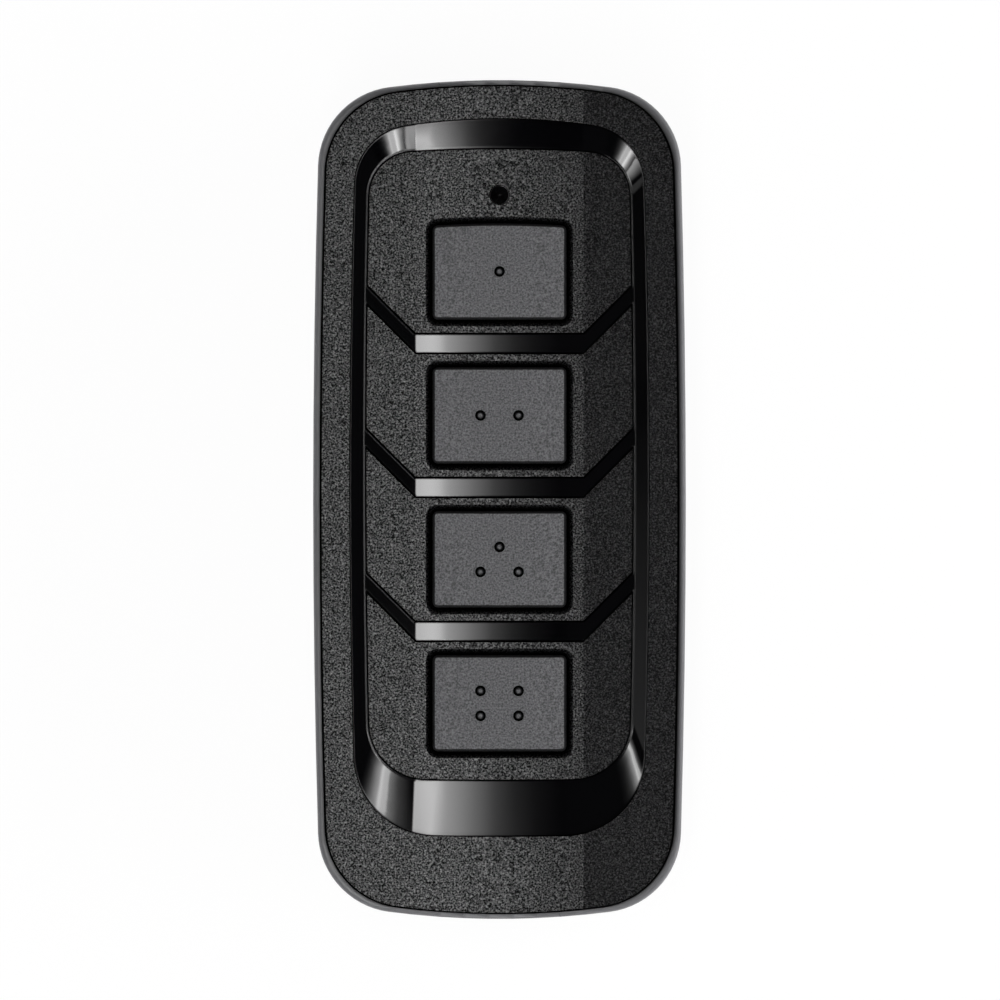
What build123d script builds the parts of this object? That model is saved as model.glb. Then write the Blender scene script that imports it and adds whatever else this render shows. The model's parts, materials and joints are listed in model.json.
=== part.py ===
from build123d import *
import os
from math import cos, radians, sin, tan

os.makedirs("parts", exist_ok=True)

# Alarm key fob, lying on its back: X across, Y towards the indicator end, Z out of the front.
# The origin is on the back face, under the middle of the case. All lengths are in millimetres.

# Case outline, seen from the front
width = 32.0
length = 72.0
case_side_bow = 0.6
case_end_bow = 1.6
case_corner = 7.0
side_rim = 0.66
end_rim = 0.51
front_corner = 6.9
seam_gap = 0.2
case_wall = 2.0

# Rear cover, in height
back_wall = 1.4
rear_height = 8.4
seat_depth = 0.8
back_rounding = 2.6
lip_rounding = 0.45

# Front facets: a crowned middle strip between two slopes
key_shoulder = 1.46
crown_rise = 0.26
facet_angle = 10.0
front_wall = 1.15

# Polished ring: its bevel falls from the case's level to a narrow land at the gloss level
ring_side_band = 3.12
ring_top_band = 3.34
ring_bottom_band = 7.11
ring_side_bow = 0.55
ring_top_bow = 1.4
ring_bottom_bow = 0.3
ring_top_corner = 5.2
ring_bottom_corner = 7.0
bevel_side = 1.38
bevel_top = 2.57
bevel_bottom = 4.8
bevel_lip = 0.1
bevel_land = 0.15
gloss_recess = 0.7
bezel_flange = 0.6
flange_reach = 0.8
bezel_gap = 0.06

# Well inside the ring, where the key panel shows
well_side_bow = 0.35
well_top_bow = 0.5
well_bottom_bow = 0.15
well_top_corner = 3.9
well_bottom_corner = 5.0
well_gap = 0.1

# Key panel
panel_recess = 0.75
panel_web = 0.75
key_mouth_bevel = 0.43

# Chevron bars between the keys
chevron_height = 1.85
chevron_angle = 45.0
bar_gap = 0.15
bar_root = 0.3

# Keys
key_count = 4
key_side_margin = 5.76
key_row_gap = 4.08
key_corner = 0.45
key_bevel = 0.21
key_gap = 0.13
key_proud = 0.1
first_key_margin = 6.435
last_key_margin = 2.505
first_key_crest = 0.2
key_roof = 1.2
key_side_wall = 0.75
key_pocket_corner = 0.3
key_flange_reach = 0.6
key_flange_height = 0.8
key_flange_gap = 0.08
key_stem_radius = 1.7
key_stem_length = 0.4
key_travel = 0.3

# Raised dots on the keys, each in a round moat
dot_radius = 0.27
dot_rise = 0.14
dot_rounding = 0.13
moat_radius = 0.46
moat_depth = 0.3
dot_pitch_across = 3.26
dot_pitch_along = 2.14

# Indicator
hole_radius = 0.9
hole_setback = 3.99
pipe_gap = 0.05
pipe_recess = 0.9
pipe_flange_radius = 1.7
pipe_flange_height = 0.6
pipe_tail_radius = 1.1
pipe_rounding = 0.025
pipe_dish_radius = 0.79
pipe_dish_depth = 0.5
led_width = 2.0
led_length = 1.25
led_height = 0.8
led_gap = 0.3

# Coin cell and its contacts
cell_side_room = 4.0
cell_height = 3.2
cell_cap_inset = 1.8
cell_cap_height = 0.3
cell_rounding = 0.2
clip_sheet = 0.3
clip_width = 8.0
clip_side_gap = 0.3
clip_foot = 1.6
clip_floor_gap = 0.3
contact_sheet = 0.3
contact_inset = 3.7

# Circuit board
board_thickness = 1.0
board_edge_gap = 0.8
board_corner = 3.6
board_screw_gap = 0.1

# Tact switches
switch_side = 6.0
switch_body_height = 1.8
switch_cover_sheet = 0.15
switch_well_radius = 2.2
switch_well_depth = 1.15
plunger_radius = 1.7
plunger_gap = 0.12
plunger_proud = 0.55
plunger_foot_radius = 2.0
plunger_foot_gap = 0.05
dome_radius = 2.0
dome_crown_radius = 0.8
dome_pressed_height = 0.12
dome_sheet = 0.08
dome_gap = 0.02
terminal_width = 0.7
terminal_sheet = 0.2
terminal_reach = 1.0
terminal_height = 0.7
terminal_spread = 4.5

# Chips and small electronic parts on the board
chip_width = 3.9
chip_length = 4.9
chip_height = 1.5
chip_lift = 0.15
chip_lead_rows = 4
chip_lead_width = 0.42
chip_lead_pitch = 1.27
chip_lead_reach = 1.0
chip_lead_sheet = 0.2
chip_offset = 1.0
radio_side = 4.0
radio_height = 0.9
radio_offset = 1.0
crystal_width = 2.5
crystal_length = 3.2
crystal_height = 0.8
crystal_offset = -6.0
small_width = 0.8
small_length = 1.6
small_height = 0.6
small_pitch = 2.2
small_count = 4
small_offset = -2.87

# Antenna: a bent wire round the indicator end of the board
antenna_wire_radius = 0.35
antenna_post_gap = 0.35
antenna_height = 1.2
antenna_length = 7.6
antenna_bend = 0.9
antenna_end_gap = 2.0

# Screws
boss_side_gap = 4.6
boss_end_gap = 0.7
case_screw_radius = 1.0
case_screw_head_radius = 1.8
case_screw_head_height = 1.2
case_screw_length = 8.0
case_screw_sink = 1.7
screw_gap = 0.1
thread_gap = 0.02
rear_boss_radius = 2.6
front_boss_radius = 1.9
boss_height = 6.0
boss_gap = 0.05
board_screw_inset = 2.9
upper_board_screw_setback = 4.49
lower_board_screw_setback = 1.69
board_screw_radius = 0.8
board_screw_head_radius = 1.4
board_screw_head_height = 0.8
board_screw_length = 3.2
post_radius = 1.6
screw_slot_width = 0.5
screw_slot_depth = 0.4

# Hooks that hold the two covers together at the indicator end
hook_spacing = 8.0
hook_width = 3.0
hook_sheet = 0.8
hook_root = 0.5
hook_rise = 1.4
hook_drop = 1.5
hook_nose = 0.35
hook_nose_height = 0.6
hook_gap = 0.1

# Ribs inside the rear cover, under the board
rib_inset = 1.5
rib_sheet = 1.0
rib_gap = 0.15
rib_cell_gap = 1.6

# How far a cut runs on past a face or a crease
overrun = 0.4

# Heights, from the back to the front
clip_bottom = back_wall + clip_floor_gap
cell_bottom = clip_bottom + clip_sheet
contact_bottom = cell_bottom + cell_height
board_bottom = contact_bottom + contact_sheet
board_top = board_bottom + board_thickness
switch_top = board_top + switch_body_height
plunger_top = switch_top + switch_cover_sheet + plunger_proud
key_flange_bottom = plunger_top + key_stem_length
key_flange_top = key_flange_bottom + key_flange_height
front_seat = rear_height - seat_depth
hook_top = front_seat + hook_rise
hook_bottom = front_seat - hook_drop
dome_rise = key_travel + dome_pressed_height

# Depths below the front's own level
bezel_under = front_wall + bezel_flange
panel_under = bezel_under + panel_web

# Places in plan: the ring, the well inside it and the keys
ring_half_width = width / 2 - ring_side_band
ring_top = length / 2 - ring_top_band
ring_bottom = -length / 2 + ring_bottom_band
well_half_width = ring_half_width - bevel_side
well_top = ring_top - bevel_top
well_bottom = ring_bottom + bevel_bottom
key_room = well_top - first_key_margin - last_key_margin - well_bottom
key_height = (key_room - (key_count - 1) * key_row_gap) / key_count
key_pitch = key_height + key_row_gap
first_key_y = well_top - first_key_margin - key_height / 2
key_rows = [first_key_y - key_pitch * row for row in range(key_count)]
key_width = 2 * (well_half_width - key_side_margin)
crease_x = key_width / 2 + key_shoulder


def crown_drop(x):
    """How far the crowned middle strip has fallen at x from its centre line."""
    return crown_rise * (x / crease_x) ** 2


key_flange_edge = key_width / 2 + key_flange_reach
thickness = key_flange_top + key_flange_gap + crown_drop(key_flange_edge) + panel_under

# Places in plan: bars, screws, board and cell
chevron_rows = [row - key_pitch / 2 for row in key_rows[:-1]]
hole_y = well_top - hole_setback
case_screw_x = width / 2 - case_wall - front_boss_radius - boss_side_gap
case_screw_y = -length / 2 + case_wall + front_boss_radius + boss_end_gap
hook_edge_x = (hook_spacing + hook_width) / 2
hook_wall_bow = case_end_bow * (hook_edge_x / (width / 2 - case_wall - case_side_bow)) ** 2
board_low_y = case_screw_y + rear_boss_radius + board_edge_gap
hook_face = length / 2 - case_wall - hook_wall_bow - hook_gap
board_high_y = hook_face - hook_sheet - board_edge_gap
board_half_width = width / 2 - case_wall - board_edge_gap
board_screw_x = board_half_width - board_screw_inset
upper_board_screw_y = well_top - upper_board_screw_setback
lower_board_screw_y = well_bottom + lower_board_screw_setback
antenna_half_width = board_screw_x - post_radius - antenna_post_gap - antenna_wire_radius
part_column = (switch_side / 2 + terminal_reach + board_half_width) / 2
chip_y = key_rows[1] + chip_offset
radio_y = key_rows[1] + radio_offset
crystal_y = key_rows[1] + crystal_offset
small_y = key_rows[2] + small_offset
cell_radius = width / 2 - case_wall - cell_side_room
cell_cap_radius = cell_radius - cell_cap_inset
contact_radius = cell_cap_radius - contact_inset
case_screw_spots = [(-case_screw_x, case_screw_y), (case_screw_x, case_screw_y)]
board_screw_spots = [
    (side * board_screw_x, y)
    for side in (-1, 1)
    for y in (lower_board_screw_y, upper_board_screw_y)
]


def bowed_outline(half_width, top, bottom, bows, corners):
    """A rounded rectangle whose sides and ends swell outwards.

    The bows are those of the sides, the top and the bottom, the corners those at the top and the bottom.
    """
    side_bow, top_bow, bottom_bow = bows
    edge = half_width - side_bow
    middle = (top + bottom) / 2
    with BuildSketch() as outline:
        with BuildLine():
            left = ThreePointArc((-edge, bottom + bottom_bow), (-half_width, middle), (-edge, top - top_bow))
            over = ThreePointArc(left @ 1, (0, top), (edge, top - top_bow))
            right = ThreePointArc(over @ 1, (half_width, middle), (edge, bottom + bottom_bow))
            ThreePointArc(right @ 1, (0, bottom), left @ 0)
        make_face()
        fillet(outline.vertices().group_by(Axis.Y)[-1], corners[0])
        fillet(outline.vertices().group_by(Axis.Y)[0], corners[1])
    return outline.sketch


def case_outline(inset):
    """The rear cover's outline, drawn in by inset."""
    reach = length / 2 - inset
    bows = (case_side_bow, case_end_bow, case_end_bow)
    corners = (case_corner - inset, case_corner - inset)
    return bowed_outline(width / 2 - inset, reach, -reach, bows, corners)


def front_outline(spread):
    """The front cover's outline, let out by spread."""
    half_width = width / 2 - side_rim - seam_gap / 2 + spread
    reach = length / 2 - end_rim - seam_gap / 2 + spread
    bows = (case_side_bow, case_end_bow, case_end_bow)
    corners = (front_corner + spread, front_corner + spread)
    return bowed_outline(half_width, reach, -reach, bows, corners)


def ring_outline(spread):
    """The polished ring's outer edge, let out by spread."""
    bows = (ring_side_bow, ring_top_bow, ring_bottom_bow)
    corners = (ring_top_corner + spread, ring_bottom_corner + spread)
    return bowed_outline(ring_half_width + spread, ring_top + spread, ring_bottom - spread, bows, corners)


def well_outline(spread):
    """The polished ring's inner edge, let out by spread."""
    bows = (well_side_bow, well_top_bow, well_bottom_bow)
    corners = (well_top_corner + spread, well_bottom_corner + spread)
    return bowed_outline(well_half_width + spread, well_top + spread, well_bottom - spread, bows, corners)


def front_form(drop):
    """The room under the front's three facets, lowered by drop."""
    top = thickness - drop
    edge = top - crown_rise
    far = edge - (width - crease_x) * tan(radians(facet_angle))
    with BuildPart() as form:
        with BuildSketch(Plane.XZ):
            with BuildLine():
                crown = ThreePointArc((-crease_x, edge), (0, top), (crease_x, edge))
                Polyline(crown @ 1, (width, far), (width, 0), (-width, 0), (-width, far), crown @ 0)
            make_face()
        extrude(amount=length, both=True)
    return form.part


def front_slab(plan, upper, lower):
    """The plan as a plate that follows the front's facets, between two depths below it."""
    with BuildPart() as slab:
        with BuildSketch():
            add(plan)
        extrude(amount=thickness)
        add(front_form(upper), mode=Mode.INTERSECT)
        add(front_form(lower), mode=Mode.SUBTRACT)
    return slab.part


def chevron(middle, inset):
    """A bar across the middle strip whose arms climb outwards over both slopes."""
    half = chevron_height / 2
    reach = width / 2
    rise = (reach - crease_x) * tan(radians(chevron_angle))
    upper = [(-reach, rise + half), (-crease_x, half), (crease_x, half), (reach, rise + half)]
    lower = [(x, y - chevron_height) for x, y in reversed(upper)]
    with BuildSketch() as mark:
        with BuildLine():
            Polyline(*[(x, middle + y) for x, y in upper + lower], close=True)
        make_face()
        if inset:
            offset(amount=-inset, kind=Kind.INTERSECTION, mode=Mode.REPLACE)
    return mark.sketch


def key_outline(row, spread, corner):
    """The outline of the key in this row, let out by spread. The first key's top edge is bowed."""
    half_width = key_width / 2 + spread
    half_height = key_height / 2 + spread
    crest = first_key_crest if row == 0 else 0
    middle = key_rows[row]
    with BuildSketch() as outline:
        with BuildLine():
            sides = Polyline(
                (-half_width, middle + half_height - crest),
                (-half_width, middle - half_height),
                (half_width, middle - half_height),
                (half_width, middle + half_height - crest),
            )
            if crest:
                ThreePointArc(sides @ 1, (0, middle + half_height), sides @ 0)
            else:
                Line(sides @ 1, sides @ 0)
        make_face()
        fillet(outline.vertices(), corner)
    return outline.sketch


def ring_bevel_station(x):
    """The dish inside the ring, cut across at x: bevel, floor and bevel. The floor reaches onto the land."""
    outer = ring_half_width - ring_side_bow
    inner = well_half_width - well_side_bow
    upper = thickness - bevel_lip - crown_drop(x)
    lower = thickness - gloss_recess - crown_drop(x)
    outer_top = ring_top - ring_top_bow * (x / outer) ** 2
    outer_bottom = ring_bottom + ring_bottom_bow * (x / outer) ** 2
    inner_top = well_top + bevel_land - well_top_bow * (x / inner) ** 2
    inner_bottom = well_bottom - bevel_land + well_bottom_bow * (x / inner) ** 2
    with BuildSketch(Plane.YZ.offset(x)) as station:
        with BuildLine():
            Polyline(
                (outer_top, upper),
                (inner_top, lower),
                (inner_bottom, lower),
                (outer_bottom, upper),
                (outer_bottom, 2 * thickness),
                (outer_top, 2 * thickness),
                close=True,
            )
        make_face()
    return station.sketch


def on_slope(outline, drop):
    """The part of an outline beyond the right crease, lifted onto the right slope."""
    fall = radians(facet_angle)
    slope = Plane(
        origin=(crease_x, 0, thickness - crown_rise - drop),
        x_dir=(cos(fall), 0, -sin(fall)),
        z_dir=(sin(fall), 0, cos(fall)),
    )
    with BuildPart() as prism:
        with BuildSketch():
            add(outline)
            with Locations((crease_x - overrun, 0)):
                Rectangle(width, 2 * length, align=(Align.MIN, Align.CENTER), mode=Mode.INTERSECT)
        extrude(amount=2 * thickness)
    return section(prism.part, section_by=slope)


def upright(y):
    """A plane that stands across the key fob at y, with X to the right and Z up."""
    return Plane(origin=(0, y, 0), x_dir=(1, 0, 0), z_dir=(0, -1, 0))


def looks_forward(face):
    """Whether a face looks straight out of the front, as the middle strip does and the slopes don't."""
    return face.normal_at(face.center()).Z > cos(radians(facet_angle) / 2)


def screws(spots, radius, length_below_head, head_radius, head_height, seat):
    """Slotted screws driven upwards, with the undersides of their heads at seat."""
    with BuildPart() as group:
        with BuildSketch(Plane.XY.offset(seat - head_height)):
            with Locations(*spots):
                Circle(head_radius)
        extrude(amount=head_height)
        with BuildSketch(Plane.XY.offset(seat)):
            with Locations(*spots):
                Circle(radius)
        extrude(amount=length_below_head)
        with BuildSketch(Plane.XY.offset(seat - head_height)):
            with Locations(*spots):
                Rectangle(2 * head_radius, screw_slot_width)
        extrude(amount=screw_slot_depth, mode=Mode.SUBTRACT)
    return group.part


# Rear cover: the tray that shows as a rim round the front cover
with BuildPart() as rear_cover:
    with BuildSketch():
        add(case_outline(0))
    extrude(amount=rear_height)
    fillet(rear_cover.faces().sort_by(Axis.Z)[0].edges(), back_rounding)
    fillet(rear_cover.faces().sort_by(Axis.Z)[-1].edges(), lip_rounding)
    with BuildSketch(Plane.XY.offset(back_wall)):
        add(case_outline(case_wall))
    extrude(amount=rear_height, mode=Mode.SUBTRACT)
    with BuildSketch(Plane.XY.offset(front_seat)):
        add(front_outline(seam_gap))
    extrude(amount=rear_height, mode=Mode.SUBTRACT)
    # Bosses for the case screws
    with BuildSketch(Plane.XY.offset(back_wall)):
        with Locations(*case_screw_spots):
            Circle(rear_boss_radius)
    extrude(amount=boss_height - back_wall)
    # Ribs that carry the board behind the keys
    rib_y = cell_radius + rib_cell_gap + rib_sheet / 2
    with BuildSketch(Plane.XY.offset(back_wall)):
        with Locations((0, -rib_y), (0, rib_y)):
            Rectangle(2 * (cell_radius - rib_inset), rib_sheet)
    extrude(amount=board_bottom - rib_gap - back_wall)
    # Screw holes, sunk from the back
    with BuildSketch():
        with Locations(*case_screw_spots):
            Circle(case_screw_radius + screw_gap)
    extrude(amount=boss_height, mode=Mode.SUBTRACT)
    with BuildSketch():
        with Locations(*case_screw_spots):
            Circle(case_screw_head_radius + screw_gap)
    extrude(amount=case_screw_sink, mode=Mode.SUBTRACT)
    # Pockets for the noses of the hooks
    with BuildSketch(Plane.XY.offset(hook_bottom - hook_gap)):
        with Locations((-hook_spacing / 2, hook_face), (hook_spacing / 2, hook_face)):
            Rectangle(hook_width + 2 * hook_gap, 2 * (hook_nose + hook_gap))
    extrude(amount=hook_nose_height + 2 * hook_gap, mode=Mode.SUBTRACT)
rear_cover.part.label = "rear_cover"
export_step(rear_cover.part, "parts/rear_cover.step")

# Front cover: the textured shell with the opening for the ring
with BuildPart() as front_hollow:
    with BuildSketch():
        add(case_outline(case_wall))
    extrude(amount=thickness)
    add(front_form(front_wall), mode=Mode.INTERSECT)
with BuildPart() as front_bosses:
    with BuildSketch(Plane.XY.offset(boss_height + boss_gap)):
        with Locations(*case_screw_spots):
            Circle(front_boss_radius)
    extrude(amount=thickness)
    add(front_form(front_wall / 2), mode=Mode.INTERSECT)
with BuildPart() as front_cover:
    with BuildSketch(Plane.XY.offset(front_seat)):
        add(front_outline(0))
    extrude(amount=thickness)
    add(front_form(0), mode=Mode.INTERSECT)
    add(front_hollow.part, mode=Mode.SUBTRACT)
    with BuildSketch():
        add(ring_outline(0))
    extrude(amount=2 * thickness, mode=Mode.SUBTRACT)
    # Bosses that the case screws bite into
    add(front_bosses.part)
    with BuildSketch(Plane.XY.offset(case_screw_sink)):
        with Locations(*case_screw_spots):
            Circle(case_screw_radius + thread_gap)
    extrude(amount=case_screw_length + screw_gap, mode=Mode.SUBTRACT)
    # Hooks at the indicator end, each with a nose that catches in the rear cover
    with BuildSketch(Plane.XY.offset(hook_bottom)):
        with Locations((-hook_spacing / 2, hook_face), (hook_spacing / 2, hook_face)):
            Rectangle(hook_width, hook_sheet, align=(Align.CENTER, Align.MAX))
    extrude(amount=hook_top - hook_bottom)
    with BuildSketch(Plane.XY.offset(hook_bottom)):
        with Locations((-hook_spacing / 2, hook_face), (hook_spacing / 2, hook_face)):
            Rectangle(hook_width, hook_nose, align=(Align.CENTER, Align.MIN))
    extrude(amount=hook_nose_height)
    with BuildSketch(Plane.XY.offset(front_seat)):
        with Locations((-hook_spacing / 2, hook_face), (hook_spacing / 2, hook_face)):
            Rectangle(hook_width, hook_root, align=(Align.CENTER, Align.MIN))
    extrude(amount=hook_top - front_seat)
front_cover.part.label = "front_cover"
export_step(front_cover.part, "parts/front_cover.step")

# Gloss bezel: the polished ring with its bevel, and the three chevron bars across it
with BuildPart() as middle_dish:
    for x in (-crease_x - overrun, 0, crease_x + overrun):
        add(ring_bevel_station(x))
    loft()
with BuildPart() as side_dishes:
    loft([on_slope(ring_outline(0), bevel_lip), on_slope(well_outline(bevel_land), gloss_recess)], ruled=True)
    mirror(about=Plane.YZ)
with BuildSketch() as ring_plan:
    add(ring_outline(-bezel_gap))
    add(well_outline(0), mode=Mode.SUBTRACT)
with BuildSketch() as flange_plan:
    add(ring_outline(flange_reach))
    add(well_outline(0), mode=Mode.SUBTRACT)
with BuildSketch() as bar_plan:
    for row in chevron_rows:
        add(chevron(row, bar_gap))
    add(well_outline(bar_root), mode=Mode.INTERSECT)
with BuildPart() as gloss_bezel:
    add(front_slab(ring_plan.sketch, bevel_lip, bezel_under))
    add(middle_dish.part, mode=Mode.SUBTRACT)
    add(side_dishes.part, mode=Mode.SUBTRACT)
    add(front_slab(flange_plan.sketch, front_wall, bezel_under))
    add(front_slab(bar_plan.sketch, gloss_recess, bezel_under))
gloss_bezel.part.label = "gloss_bezel"
export_step(gloss_bezel.part, "parts/gloss_bezel.step")

# Key panel: four textured plates on one web, with mouths for the keys and a hole for the indicator
with BuildSketch() as panel_holes:
    for row in range(key_count):
        add(key_outline(row, key_gap, key_corner + key_gap))
    with Locations((0, hole_y)):
        Circle(hole_radius)
with BuildSketch() as plate_plan:
    add(well_outline(-well_gap))
    for row in chevron_rows:
        add(chevron(row, 0), mode=Mode.SUBTRACT)
    add(panel_holes.sketch, mode=Mode.SUBTRACT)
with BuildSketch() as web_plan:
    add(ring_outline(flange_reach))
    add(panel_holes.sketch, mode=Mode.SUBTRACT)
with BuildPart() as panel_posts:
    with BuildSketch(Plane.XY.offset(board_top)):
        with Locations(*board_screw_spots):
            Circle(post_radius)
    extrude(amount=thickness)
    add(front_form(bezel_under + panel_web / 2), mode=Mode.INTERSECT)
with BuildPart() as key_panel:
    add(front_slab(plate_plan.sketch, panel_recess, bezel_under))
    tops = key_panel.faces().filter_by(looks_forward)
    mouths = [wire for face in tops for wire in face.inner_wires() if wire.length > key_width]
    chamfer([edge for wire in mouths for edge in wire.edges()], key_mouth_bevel)
    add(front_slab(web_plan.sketch, bezel_under, panel_under))
    # Posts that the board is screwed to
    add(panel_posts.part)
    with BuildSketch(Plane.XY.offset(board_bottom)):
        with Locations(*board_screw_spots):
            Circle(board_screw_radius + thread_gap)
    extrude(amount=board_screw_length + screw_gap, mode=Mode.SUBTRACT)
key_panel.part.label = "key_panel"
export_step(key_panel.part, "parts/key_panel.step")

# Keys: hollow caps with a flange behind the panel, a stem over the switch and raised dots on the face
key_drop = panel_recess - key_proud
across = dot_pitch_across / 2
along = dot_pitch_along / 2
key_dots = [
    [(0, 0)],
    [(-across, 0), (across, 0)],
    [(0, along), (-across, -along), (across, -along)],
    [(-across, along), (across, along), (-across, -along), (across, -along)],
]
for row in range(key_count):
    number = row + 1
    dots = [(x, key_rows[row] + y) for x, y in key_dots[row]]
    face_height = thickness - key_drop
    with BuildPart() as button:
        with BuildSketch(Plane.XY.offset(key_flange_bottom)):
            add(key_outline(row, 0, key_corner))
        extrude(amount=thickness)
        add(front_form(key_drop), mode=Mode.INTERSECT)
        chamfer(button.faces().sort_by(Axis.Z)[-1].edges(), key_bevel)
        # Moats and dots
        with BuildSketch(Plane.XY.offset(face_height - moat_depth)):
            with Locations(*dots):
                Circle(moat_radius)
        extrude(amount=thickness, mode=Mode.SUBTRACT)
        with BuildSketch(Plane.XY.offset(face_height - moat_depth)):
            with Locations(*dots):
                Circle(dot_radius)
        extrude(amount=moat_depth + dot_rise)
        fillet(button.edges().group_by(Axis.Z)[-1], dot_rounding)
        # Flange behind the panel
        with BuildSketch(Plane.XY.offset(key_flange_bottom)):
            add(key_outline(row, key_flange_reach, key_corner + key_flange_reach))
        extrude(amount=key_flange_height)
        # Hollow underside round the stem
        with BuildSketch(Plane.XY.offset(key_flange_bottom)):
            add(key_outline(row, -key_side_wall, key_pocket_corner))
            with Locations((0, key_rows[row])):
                Circle(key_stem_radius, mode=Mode.SUBTRACT)
        extrude(amount=face_height - key_roof - key_flange_bottom, mode=Mode.SUBTRACT)
        with BuildSketch(Plane.XY.offset(plunger_top)):
            with Locations((0, key_rows[row])):
                Circle(key_stem_radius)
        extrude(amount=key_stem_length)
    button.part.label = f"button_{number}"
    export_step(button.part, f"parts/button_{number}.step")

# Light pipe: carries the indicator's light to the hole in the panel
with BuildPart() as light_pipe:
    pipe_seat = thickness - panel_under - crown_drop(pipe_flange_radius)
    flange_bottom = pipe_seat - pipe_flange_height
    tail_bottom = board_top + led_height + led_gap
    pipe_tip = thickness - panel_recess - pipe_recess
    for radius, bottom, top in [
        (hole_radius - pipe_gap, flange_bottom, pipe_tip),
        (pipe_flange_radius, flange_bottom, pipe_seat),
        (pipe_tail_radius, tail_bottom, flange_bottom),
    ]:
        with BuildSketch(Plane.XY.offset(bottom)):
            with Locations((0, hole_y)):
                Circle(radius)
        extrude(amount=top - bottom)
    # Countersunk end, which spreads the light to the sides
    with Locations((0, hole_y, pipe_tip)):
        Cone(
            0,
            pipe_dish_radius,
            pipe_dish_depth,
            align=(Align.CENTER, Align.CENTER, Align.MAX),
            mode=Mode.SUBTRACT,
        )
    fillet(light_pipe.edges().group_by(Axis.Z)[-1], pipe_rounding)
light_pipe.part.label = "light_pipe"
export_step(light_pipe.part, "parts/light_pipe.step")

# Circuit board, with holes for its screws
with BuildPart() as circuit_board:
    with BuildSketch(Plane.XY.offset(board_bottom)) as board_plan:
        add(case_outline(case_wall + board_edge_gap))
        with Locations((0, board_low_y)):
            Rectangle(width, board_high_y - board_low_y, align=(Align.CENTER, Align.MIN), mode=Mode.INTERSECT)
        fillet(board_plan.vertices().group_by(Axis.Y)[0], board_corner)
        with Locations(*board_screw_spots):
            Circle(board_screw_radius + board_screw_gap, mode=Mode.SUBTRACT)
    extrude(amount=board_thickness)
circuit_board.part.label = "circuit_board"
export_step(circuit_board.part, "parts/circuit_board.step")

# Indicator lamp under the light pipe
with BuildPart() as indicator_led:
    with Locations((0, hole_y, board_top)):
        Box(led_width, led_length, led_height, align=(Align.CENTER, Align.CENTER, Align.MIN))
indicator_led.part.label = "indicator_led"
export_step(indicator_led.part, "parts/indicator_led.step")

# Tact switches, one under each key: body, snap dome, plunger and cover
well_floor = switch_top - switch_well_depth
plunger_bottom = well_floor + dome_rise + dome_gap
for row in range(key_count):
    number = row + 1
    middle = key_rows[row]
    with BuildPart() as switch_body:
        with Locations((0, middle, board_top)):
            Box(switch_side, switch_side, switch_body_height, align=(Align.CENTER, Align.CENTER, Align.MIN))
        with Locations((0, middle, switch_top)):
            Hole(switch_well_radius, switch_well_depth)
    switch_body.part.label = f"switch_{number}_body"
    export_step(switch_body.part, f"parts/switch_{number}_body.step")

    with BuildPart() as switch_dome:
        with BuildSketch(upright(middle)):
            with BuildLine():
                Polyline(
                    (0, well_floor + dome_rise),
                    (dome_crown_radius, well_floor + dome_rise),
                    (dome_radius, well_floor + dome_sheet),
                    (dome_radius, well_floor),
                    (dome_crown_radius, well_floor + dome_rise - dome_sheet),
                    (0, well_floor + dome_rise - dome_sheet),
                    close=True,
                )
            make_face()
        revolve(axis=Axis((0, middle, 0), (0, 0, 1)))
    switch_dome.part.label = f"switch_{number}_dome"
    export_step(switch_dome.part, f"parts/switch_{number}_dome.step")

    with BuildPart() as switch_plunger:
        with BuildSketch(Plane.XY.offset(plunger_bottom)):
            with Locations((0, middle)):
                Circle(plunger_foot_radius)
        extrude(amount=switch_top - plunger_foot_gap - plunger_bottom)
        with BuildSketch(Plane.XY.offset(plunger_bottom)):
            with Locations((0, middle)):
                Circle(plunger_radius)
        extrude(amount=plunger_top - plunger_bottom)
    switch_plunger.part.label = f"switch_{number}_plunger"
    export_step(switch_plunger.part, f"parts/switch_{number}_plunger.step")

    with BuildPart() as switch_cover:
        with BuildSketch(Plane.XY.offset(switch_top)):
            with Locations((0, middle)):
                Rectangle(switch_side, switch_side)
                Circle(plunger_radius + plunger_gap, mode=Mode.SUBTRACT)
        extrude(amount=switch_cover_sheet)
    switch_cover.part.label = f"switch_{number}_cover"
    export_step(switch_cover.part, f"parts/switch_{number}_cover.step")

# Switch terminals: four legs on each switch, soldered to the board
with BuildPart() as switch_terminals:
    for middle in key_rows:
        for end in (-1, 1):
            leg_y = middle + end * terminal_spread / 2
            with BuildSketch(upright(leg_y)):
                for side in (-1, 1):
                    root = side * switch_side / 2
                    with BuildLine():
                        Polyline(
                            (root, board_top),
                            (root + side * terminal_reach, board_top),
                            (root + side * terminal_reach, board_top + terminal_sheet),
                            (root + side * terminal_sheet, board_top + terminal_sheet),
                            (root + side * terminal_sheet, board_top + terminal_height),
                            (root, board_top + terminal_height),
                            close=True,
                        )
                    make_face()
            extrude(amount=terminal_width / 2, both=True)
switch_terminals.part.label = "switch_terminals"
export_step(switch_terminals.part, "parts/switch_terminals.step")

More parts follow.
